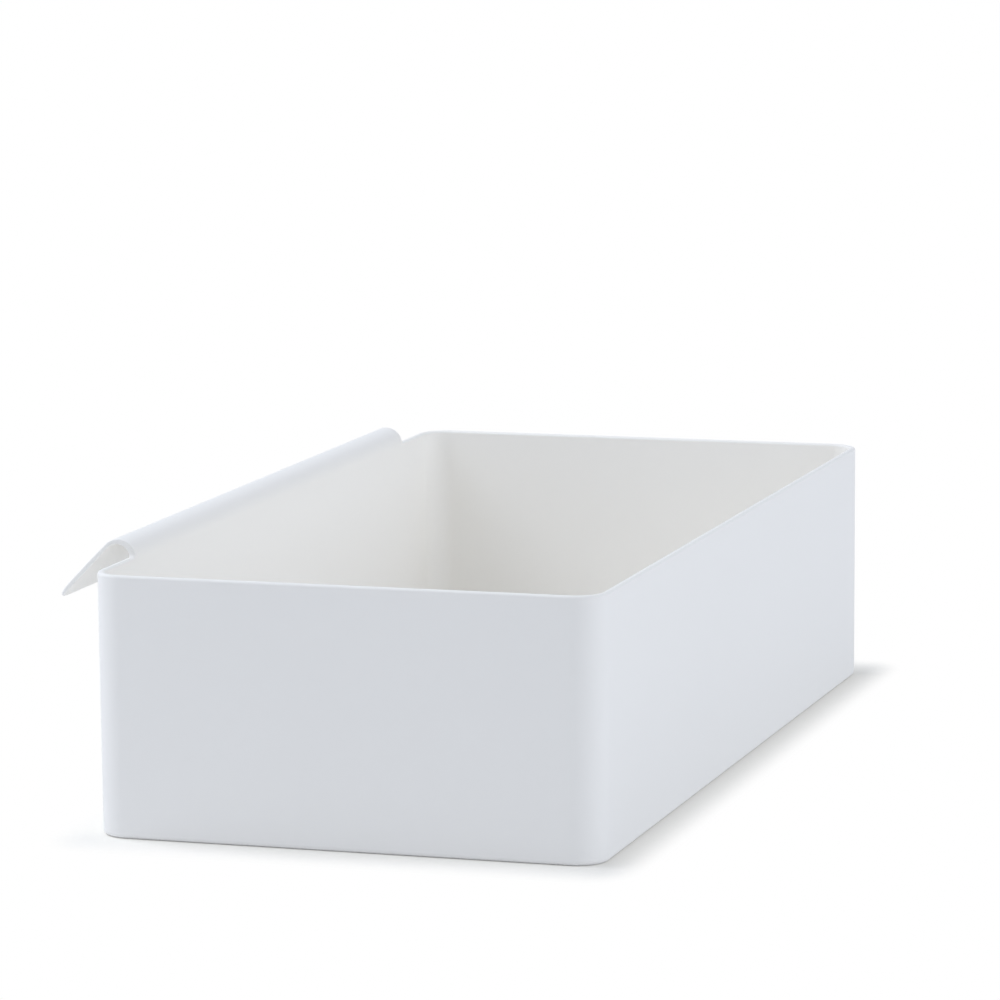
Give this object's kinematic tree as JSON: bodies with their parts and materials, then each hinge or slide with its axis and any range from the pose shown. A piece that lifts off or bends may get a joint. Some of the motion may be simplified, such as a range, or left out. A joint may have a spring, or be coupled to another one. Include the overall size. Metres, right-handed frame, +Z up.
{
  "type": "desk organizer tray",
  "caption": "Open rectangular desk tray with rounded corners, and a bent-over lip on a long wall by which it hangs on a rail.",
  "frame": {"origin": "middle of the tray's flat underside", "axes": "+X along the tray, +Y towards the long wall that carries the lip, +Z up to the open side"},
  "size_m": [0.318, 0.1805, 0.0841],
  "materials": {
    "white_plastic": "satin"
  },
  "bodies": {
    "root": {"tray": "white_plastic", "hanging_lip": "white_plastic"}
  },
  "joints": []
}
